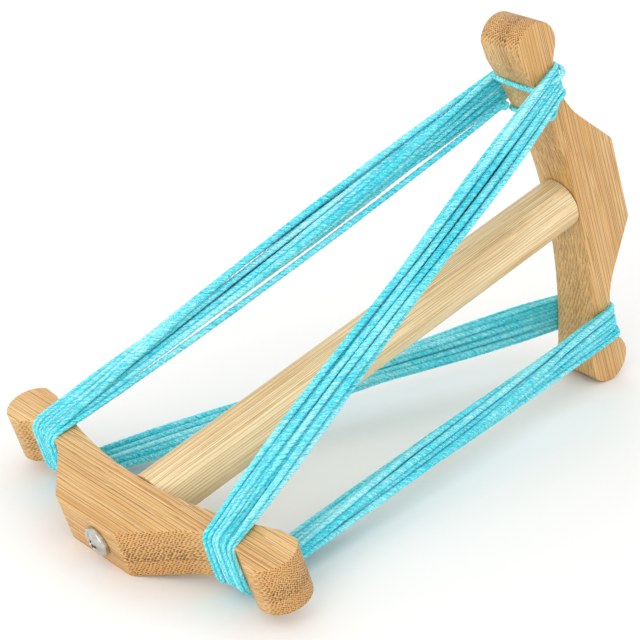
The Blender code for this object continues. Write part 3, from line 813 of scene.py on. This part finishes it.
# The skein's route as one line of points, in the order it was wound
def skeinRoute():
    visits = len(necks) * sum(yarn["loops"])
    halfWay = (windingStart + windingEnd) / 2
    middles = [neckTurn(neck, settled(neck, halfWay), 0.5) for neck in necks]
    bands = [neck[1] * -neck[0] for neck in necks]
    layers = []
    turns = []
    for visit in range(visits):
        s, layer = windingPlace(visit)
        layers.append(layer)
        neck = necks[visit % len(necks)]
        # the second layer lies less evenly than the first
        s = settled(neck, s) + rng.normal() * (0.06 + 0.16 * layer)
        rise = layer + 0.12 * rng.normal() * layer
        turns.append(neckTurn(neck, s, rise, 0.35 * rng.normal() * layer))
    # The first strand runs alone from the knot, and sags a little
    start = knotCentre()
    loose = []
    down = Vector((-0.3, 0, -0.95))
    for step in range(1, yarn["spanSteps"]):
        share = step / yarn["spanSteps"]
        sag = down * yarn["sag"] * math.sin(math.pi * share) ** 0.8
        loose.append(start.lerp(turns[0][0], share) + sag)
    legs = [[start] + loose + turns[0]]
    for visit in range(1, visits):
        before = (visit - 1) % len(necks)
        after = visit % len(necks)
        parity = visit // len(necks) % 2
        rows = [(0.5 + parity) * (1 if layers[index] else -1) for index in (visit - 1, visit)]
        stray = rng.normal(size=4) * yarn["stray"]
        span = spanPoints(
            turns[visit - 1][-1],
            turns[visit][0],
            (middles[before][-1], middles[after][0]),
            (bands[before], bands[after]),
            rows,
            stray,
            yarn["fullness"][before],
        )
        legs.append(span + turns[visit])
    return legs


# Evenly spaced places on a smooth line through the points, by centripetal
# Catmull-Rom splines
def smoothed(points, step, closed=False):
    raw = np.array([tuple(point) for point in points])
    if closed:
        raw = np.vstack([raw[-1:], raw, raw[:2]])
    else:
        raw = np.vstack([2 * raw[0] - raw[1], raw, 2 * raw[-1] - raw[-2]])
    fine = []
    for a, b, c, d in zip(raw, raw[1:], raw[2:], raw[3:]):
        knots = [0.0]
        for p, q in ((a, b), (b, c), (c, d)):
            knots.append(knots[-1] + max(np.linalg.norm(q - p), 1e-6) ** 0.5)
        count = max(2, int(np.linalg.norm(c - b) / (0.4 * step)))
        t = np.linspace(knots[1], knots[2], count, endpoint=False)[:, None]
        t0, t1, t2, t3 = knots
        ab = (t1 - t) / (t1 - t0) * a + (t - t0) / (t1 - t0) * b
        bc = (t2 - t) / (t2 - t1) * b + (t - t1) / (t2 - t1) * c
        cd = (t3 - t) / (t3 - t2) * c + (t - t2) / (t3 - t2) * d
        abc = (t2 - t) / (t2 - t0) * ab + (t - t0) / (t2 - t0) * bc
        bcd = (t3 - t) / (t3 - t1) * bc + (t - t1) / (t3 - t1) * cd
        fine.append((t2 - t) / (t2 - t1) * abc + (t - t1) / (t2 - t1) * bcd)
    fine = np.vstack(fine + [raw[-2:-1]])
    travel = np.concatenate([[0], np.cumsum(np.linalg.norm(np.diff(fine, axis=0), axis=1))])
    even = np.linspace(0, travel[-1], max(4, int(travel[-1] / step)) + 1)
    return np.stack([np.interp(even, travel, fine[:, axis]) for axis in range(3)], axis=1)


# The plied strand's cross-section, three lobes that the tilt turns round
def plyProfile():
    curve = bpy.data.curves.new("plySection", "CURVE")
    curve.dimensions = "2D"
    spline = curve.splines.new("POLY")
    spline.points.add(yarn["sides"] - 1)
    for index, point in enumerate(spline.points):
        angle = 2 * math.pi * index / yarn["sides"]
        radius = yarn["radius"] - yarn["plyDepth"] / 2 * (1 - math.cos(yarn["plies"] * angle))
        point.co = (radius * math.cos(angle), radius * math.sin(angle), 0, 1)
    spline.use_cyclic_u = True
    return addObject("plySection", curve)


plySection = plyProfile()


def waves(terms, reached):
    return sum(size * math.sin(reached / length + phase) for size, length, phase in terms)


# A plied strand through evenly spaced places. Its UV map holds millimetres
# along the strand and the share of a turn round it.
def makeStrand(name, places, material, thickness=1.0, closed=False, travelled=0.0):
    curve = bpy.data.curves.new(name, "CURVE")
    curve.dimensions = "3D"
    curve.bevel_mode = "OBJECT"
    curve.bevel_object = plySection
    curve.use_fill_caps = True
    spline = curve.splines.new("POLY")
    if closed:
        places = places[:-1]
    spline.points.add(len(places) - 1)
    step = np.linalg.norm(places[1] - places[0])
    length = step * len(places)
    turns = length / yarn["twist"]
    if closed:
        turns = round(turns * yarn["plies"]) / yarn["plies"]
    for index, (point, place) in enumerate(zip(spline.points, places)):
        point.co = (*place, 1)
        reached = travelled + index * step
        uneven = 0 if closed else waves(yarn["unevenTwist"], reached)
        point.tilt = 2 * math.pi * ((turns * index / len(places) + uneven) % 1)
        swell = waves(yarn["swell"], reached)
        taut = -0.06 * max(0, 1 - reached / yarn["tautLength"]) ** 0.25
        loft = yarn["loft"] * max(0, 1 - (place[0] / halfSpan) ** 4)
        point.radius = thickness * (1 if closed else 1 + swell + taut + loft)
    spline.use_cyclic_u = closed
    strand = addObject(name, curve)
    mesh = shownMesh(strand)
    bpy.data.objects.remove(strand)
    bpy.data.curves.remove(curve)
    uv = np.zeros(len(mesh.loops) * 2)
    mesh.uv_layers[0].data.foreach_get("uv", uv)
    uv[0::2] = uv[0::2] * length + travelled
    mesh.uv_layers[0].data.foreach_set("uv", uv)
    mesh.name = name
    mesh.transform(toWorld)
    mesh.materials.clear()
    mesh.materials.append(material)
    mesh.shade_smooth()
    return addObject(name, mesh)


# Turquoise plied wool, worsted weight: matt, with painted shade that keeps it paler where the plies
# bulge and makes it darker and saturated in the grooves where strands touch. Light passes some 0.8
# mm into it.
def makeWool():
    material, tree, shader = newMaterial("pliedWool")
    source = addNode(tree, "ShaderNodeTexCoord")
    around = addNode(tree, "ShaderNodeSeparateXYZ", {"Vector": source.outputs["UV"]})
    # Painted shade between the plies: paler on their bulges, darker in the grooves between them
    turn = {0: around.outputs["Y"], 1: 2 * math.pi * yarn["plies"]}
    turn = addNode(tree, "ShaderNodeMath", turn, operation="MULTIPLY")
    paintedPlyShade = addNode(tree, "ShaderNodeMath", {0: turn}, operation="COSINE")
    paintedPlyShade = {"Value": paintedPlyShade, "From Min": -1.0, "From Max": 0.6}
    paintedPlyShade = addNode(tree, "ShaderNodeMapRange", paintedPlyShade)
    # Single fibres, drawn about 0.2 mm wide and 3 mm long so that they show,
    # and the dye lot's slow drift along the yarn
    drawn = []
    for scale, detail in (((0.35, 30, 1), 2.0), ((0.012, 0, 1), 3.0)):
        place = {"Vector": source.outputs["UV"], "Scale": scale}
        place = addNode(tree, "ShaderNodeMapping", place)
        pattern = {"Vector": place, "Scale": 1.0, "Detail": detail}
        drawn.append(addNode(tree, "ShaderNodeTexNoise", pattern, noise_dimensions="2D"))
    fibres, lot = drawn
    # Flecks of 0.7 mm where fibres bunch
    flecks = {"Vector": source.outputs["Object"], "Scale": 1.5 / mm, "Detail": 3.0}
    flecks = addNode(tree, "ShaderNodeTexNoise", flecks)
    shade = -1.1
    for pattern, weight in ((fibres, 1.5), (paintedPlyShade, 0.08), (flecks, 0.8), (lot, 0.9)):
        shade = {0: pattern, 1: weight, 2: shade}
        shade = addNode(tree, "ShaderNodeMath", shade, operation="MULTIPLY_ADD")
    stops = ((0.1, "#00A7BC"), (0.35, "#36CBDC"), (0.6, "#7BE3F0"), (0.9, "#CDF8FD"))
    tone = addNode(tree, "ShaderNodeValToRGB", {"Fac": shade}, stops)
    # Painted shade: where strands touch, their grooves are mixed towards a darker, saturated teal
    paintedGrooveShade = addNode(tree, "ShaderNodeAttribute", attribute_name="paintedGrooveShade")
    grooveShadeShare = addNode(tree, "ShaderNodeMath", {0: paintedGrooveShade.outputs["Fac"], 1: 0.7}, operation="MULTIPLY")
    colour = {0: grooveShadeShare, 6: tone, 7: linear("#00B9CC")}
    colour = addNode(tree, "ShaderNodeMix", colour, data_type="RGBA")
    tree.links.new(colour.outputs[2], shader.inputs["Base Color"])
    for name, value in {
        "Roughness": 0.85,
        "Specular IOR Level": 0.1,
        "Sheen Weight": 0.07,
        "Sheen Roughness": 0.4,
        "Sheen Tint": linear("#A4EBF2"),
        "Subsurface Weight": 0.8,
        "Subsurface Scale": 0.8 * mm,
        "Subsurface Radius": (0.3, 1.0, 1.0),
    }.items():
        shader.inputs[name].default_value = value
    bump = {"Height": fibres, "Distance": 0.1 * mm, "Strength": 0.6}
    bump = addNode(tree, "ShaderNodeBump", bump)
    tree.links.new(bump.outputs[0], shader.inputs["Normal"])
    return material


wool = makeWool()
legs = skeinRoute()


# The yarn's end goes once round the far upper neck: down the back face, along
# the inner edge and back over the band, then under its last strand
def endTurn(neck):
    faceIn, faceOut = neck[2:4]
    last = settled(neck, windingEnd)
    half = bar["thickness"] / 2 - bar["rounding"]
    snug = bar["rounding"] + yarn["gap"] + yarn["radius"]
    over = snug + yarn["layerRise"] + 1.8 * yarn["radius"]
    points = []
    for face, start, end, corner, cover in (
        (faceOut, 1, 0, (last - 1.9, last - 2.6), -snug),
        (faceIn, 0, 1, (last - 3.6, last - 3.9), -snug),
        (faceIn, 1, 0, (last - 3.0, last - 2.4), over),
    ):
        for step in range(4):
            share = step / 3
            s = corner[0] + (corner[1] - corner[0]) * share
            angle = math.pi / 2 * (start + (end - start) * share)
            outside = cover > 0
            hub = outerEdge(s) - bar["rounding"] if outside else innerEdge(s) + bar["rounding"]
            out = hub + cover * math.cos(angle)
            points.append(neckPoint(neck, face, s, out, half + abs(cover) * math.sin(angle)))
    top = outerEdge(last - 1.5)
    points.append(neckPoint(neck, faceIn, last - 2.0, top + over - bar["rounding"], 0))
    points.append(neckPoint(neck, faceOut, last - 1.0, top + over - bar["rounding"] - 0.5, 5))
    points.append(neckPoint(neck, faceOut, last + 0.6, top + yarn["radius"] + 0.4, half))
    return points


neck = necks[-1]
legs.append(endTurn(neck))

route = []
marks = []
for leg in legs:
    marks.append(len(route))
    route += leg
marks.append(len(route))
stretches = []
for index in range(yarn["pieces"]):
    first, last = (marks[round(end * len(legs) / yarn["pieces"])] for end in (index, index + 1))
    stretches.append(smoothed(route[max(first - 1, 0) : last], yarn["ringStep"]))
yarnLine = np.vstack(stretches)
strandTree = KDTree(len(yarnLine))
for index, place in enumerate(yarnLine):
    strandTree.insert(place, index)
strandTree.balance()


# How much painted shade each point gets, by how deep it lies in a groove beside the next strand:
# 0 in the open, 1 where the strands touch
def markGrooveShade(strand, places, start):
    worldToOwn = toWorld.inverted()
    depth = np.zeros(len(strand.data.vertices))
    for vert in strand.data.vertices:
        own = start + min(vert.index // yarn["sides"], len(places) - 1)
        near = strandTree.find_range(worldToOwn @ vert.co, yarn["grooveReach"])
        gaps = [gap for place, index, gap in near if abs(index - own) > 5]
        if gaps:
            depth[vert.index] = min(1, (yarn["grooveReach"] - min(gaps)) / yarn["grooveFade"])
    attribute = strand.data.attributes.new("paintedGrooveShade", "FLOAT", "POINT")
    attribute.data.foreach_set("value", depth)


travelled = 0.0
start = 0
for index, places in enumerate(stretches):
    strand = makeStrand(f"skeinLoops{index + 1}", places, wool, travelled=travelled)
    markGrooveShade(strand, places, start)
    travelled += yarn["ringStep"] * len(places)
    start += len(places)
    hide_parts("yarn_skein")
    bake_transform(strand)
    print(strand.name, len(strand.data.polygons), "faces")
print(f"skein made, {travelled / 1000:.2f} m of yarn")


# Loose fibres that stand off the yarn as short arcs, drawn 0.05 mm thick
fuzz = {
    "count": 7000,
    "thickness": 0.026,
    "reach": (0.25, 0.95),
    "length": (1.2, 3.6),
    "free": 0.45,  # share of them with one loose end
    "root": 0.85,  # of the yarn's radius, where they leave it
}


def makeFuzz():
    triangle = bpy.data.curves.new("fuzzSection", "CURVE")
    corner = triangle.splines.new("POLY")
    corner.points.add(2)
    for index, point in enumerate(corner.points):
        angle = 2 * math.pi * index / 3
        place = Vector((math.cos(angle), math.sin(angle), 0)) * fuzz["thickness"]
        point.co = (*place, 1)
    corner.use_cyclic_u = True
    around = addObject("fuzzSection", triangle)
    curve = bpy.data.curves.new("woolFuzz", "CURVE")
    curve.dimensions = "3D"
    curve.bevel_mode = "OBJECT"
    curve.bevel_object = around
    curve.use_fill_caps = True
    for index in rng.integers(2, len(yarnLine) - 8, fuzz["count"]):
        place = yarnLine[index]
        forward = yarnLine[index + 1] - place
        if not 0.5 < np.linalg.norm(forward) < 1.5:
            continue
        forward /= np.linalg.norm(forward)
        outward = np.cross(forward, rng.normal(size=3))
        outward /= np.linalg.norm(outward)
        lean = np.cross(forward, outward) * rng.normal() * 0.5
        length = rng.uniform(*fuzz["length"])
        reach = rng.uniform(*fuzz["reach"])
        free = rng.random() < fuzz["free"]
        fibre = curve.splines.new("POLY")
        fibre.points.add(4)
        for step, point in enumerate(fibre.points):
            share = step / 4
            rise = math.sin(math.pi * share * (0.6 if free else 1))
            position = place + forward * length * (share - 0.3)
            position = position + outward * (yarn["radius"] * fuzz["root"] + reach * rise)
            point.co = (*(position + lean * length * share * 0.4), 1)
            point.radius = 1 - 0.5 * share if free else 1
    loose = addObject("woolFuzz", curve)
    mesh = shownMesh(loose)
    for item in (loose, around):
        bpy.data.objects.remove(item)
    mesh.transform(toWorld)
    mesh.materials.clear()
    mesh.materials.append(makeFibre())
    return addObject("woolFuzz", mesh)


# Single wool fibres: pale and soft, their tint drifting over some 8 mm
def makeFibre():
    material, tree, shader = newMaterial("looseWoolFibre")
    place = addNode(tree, "ShaderNodeTexCoord").outputs["Object"]
    drift = addNode(tree, "ShaderNodeTexNoise", {"Vector": place, "Scale": 0.12 / mm})
    stops = ((0.3, "#3FCBD6"), (0.7, "#A0EAF0"))
    tone = addNode(tree, "ShaderNodeValToRGB", {"Fac": drift}, stops)
    tree.links.new(tone.outputs["Color"], shader.inputs["Base Color"])
    shader.inputs["Roughness"].default_value = 0.7
    shader.inputs["Sheen Weight"].default_value = 0.5
    return material


woolFuzz = makeFuzz()
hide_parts("yarn_skein")
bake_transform(woolFuzz)
print("fuzz", len(woolFuzz.data.polygons), "faces")

# The tie runs slanting, so that the band hides it on the bar's outer side
tiePlaces = (tiePlace, tiePlace + 7, tiePlace + 7, tiePlace)
tiePath = smoothed(ringPoints(neck, tiePlaces), yarn["ringStep"], closed=True)
tieRing = makeStrand("startTie", tiePath, wool, closed=True)
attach(tieRing, "far_bar")
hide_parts("start_tie")

# The knot is a trefoil of one strand
centre = knotCentre()
loops = []
for step in range(knot["steps"]):
    angle = 2 * math.pi * step / knot["steps"]
    x = math.sin(angle) + 2 * math.sin(2 * angle)
    y = math.cos(angle) - 2 * math.cos(2 * angle)
    loops.append(centre + Vector((x, y, -math.sin(3 * angle))) * knot["loop"])
knotPath = smoothed(loops, knot["ringStep"], closed=True)
startKnot = makeStrand("startKnot", knotPath, wool, thickness=knot["strand"], closed=True)
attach(startKnot, "far_bar")
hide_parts("start_knot")
bpy.data.objects.remove(plySection)
print("tie and knot made")

# A plain pale floor and soft studio light
studio = {
    "floor": "#F4F3F1",
    "floorSize": 6,
    "surround": "#FFFFFF",
    "surroundStrength": 1.0,
    "lights": {  # place in metres, power in watts and size in metres
        "keyLight": ((-1.0, -0.45, 0.78), 2.8, 0.7),
        "fillLight": ((0.55, -1.0, 0.55), 1.1, 0.9),
        "endLight": ((-1.1, -0.7, 0.25), 4.2, 0.8),
        "backLight": ((0.5, 0.8, 0.9), 1.2, 0.8),
    },
}


# Matt paper with a grain of about 1 mm
def makeFloor():
    material, tree, shader = newMaterial("studioPaper")
    place = addNode(tree, "ShaderNodeTexCoord").outputs["Object"]
    grain = addNode(tree, "ShaderNodeTexNoise", {"Vector": place, "Scale": 0.9 / mm})
    rough = addNode(tree, "ShaderNodeMapRange", {"Value": grain, "To Min": 0.85, "To Max": 0.95})
    tree.links.new(rough.outputs[0], shader.inputs["Roughness"])
    shader.inputs["Base Color"].default_value = linear(studio["floor"])
    bm = bmesh.new()
    bmesh.ops.create_grid(bm, x_segments=1, y_segments=1, size=studio["floorSize"] / 2)
    mesh = bpy.data.meshes.new("studioFloor")
    bm.to_mesh(mesh)
    bm.free()
    mesh.materials.append(material)
    return addObject("studioFloor", mesh)


makeFloor()

scene.view_settings.view_transform = "Standard"
world = bpy.data.worlds.new("softBox")
scene.world = world
world.use_nodes = True
background = world.node_tree.nodes["Background"]
background.inputs["Color"].default_value = linear(studio["surround"])
background.inputs["Strength"].default_value = studio["surroundStrength"]

for name, (place, power, size) in studio["lights"].items():
    light = bpy.data.lights.new(name, "AREA")
    light.shape = "DISK"
    light.energy = power
    light.size = size
    lamp = addObject(name, light)
    lamp.location = place
    lamp.rotation_euler = (middle - Vector(place)).to_track_quat("-Z", "Y").to_euler()

# The camera, where the photograph was taken from, in the winder's directions
view = {
    "place": (-315.9, -517.7, 414.7),
    "right": (0.737, -0.6249, -0.2576),
    "down": (-0.5299, -0.2976, -0.7941),
    "forward": (0.4196, 0.7217, -0.5505),
    "focal": 2161.8,  # in pixels
    "width": 640,
}
camera = addObject("photoCamera", bpy.data.cameras.new("photoCamera"))
scene.camera = camera
camera.data.sensor_width = 36
camera.data.lens = view["focal"] / view["width"] * camera.data.sensor_width
camera.data.clip_start = 0.01
axes = Matrix(
    (Vector(view["right"]), -Vector(view["down"]), -Vector(view["forward"]))
).transposed()
cameraPlace = Matrix.Translation(toWorld @ Vector(view["place"]))
camera.matrix_world = cameraPlace @ (turnToWorld @ axes).to_4x4()
print("floor, lights and camera set")
